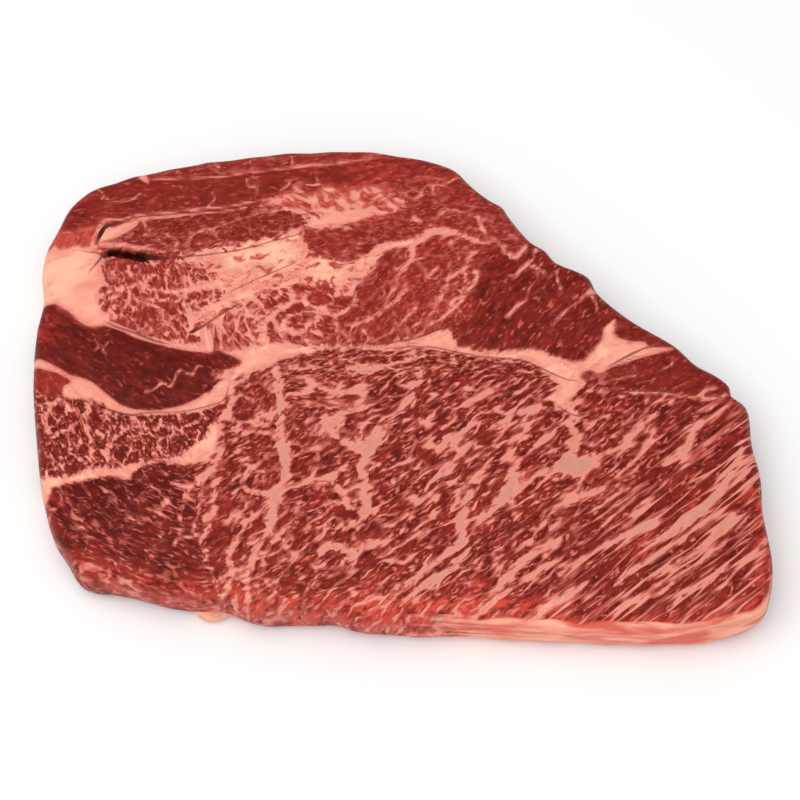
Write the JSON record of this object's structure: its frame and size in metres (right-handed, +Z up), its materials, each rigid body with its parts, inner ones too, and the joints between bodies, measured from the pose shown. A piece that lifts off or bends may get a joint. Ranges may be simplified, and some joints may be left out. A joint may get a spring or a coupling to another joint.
{
  "type": "raw marbled chuck steak",
  "caption": "Raw boneless chuck steak: a flat slab cut across the shoulder, with heavy marbling, seams of fat between its muscles and one stepped edge.",
  "frame": {"origin": "middle of the footprint, on the flat lower cut face", "axes": "+X along the slab's length to the thin right end, +Y from the straight near edge to the far edge, +Z up out of the upper cut face"},
  "size_m": [0.237, 0.173, 0.0236],
  "materials": {
    "meat": "moist raw beef, matt to soft sheen"
  },
  "bodies": {
    "root": {"steak": "meat"}
  },
  "joints": []
}
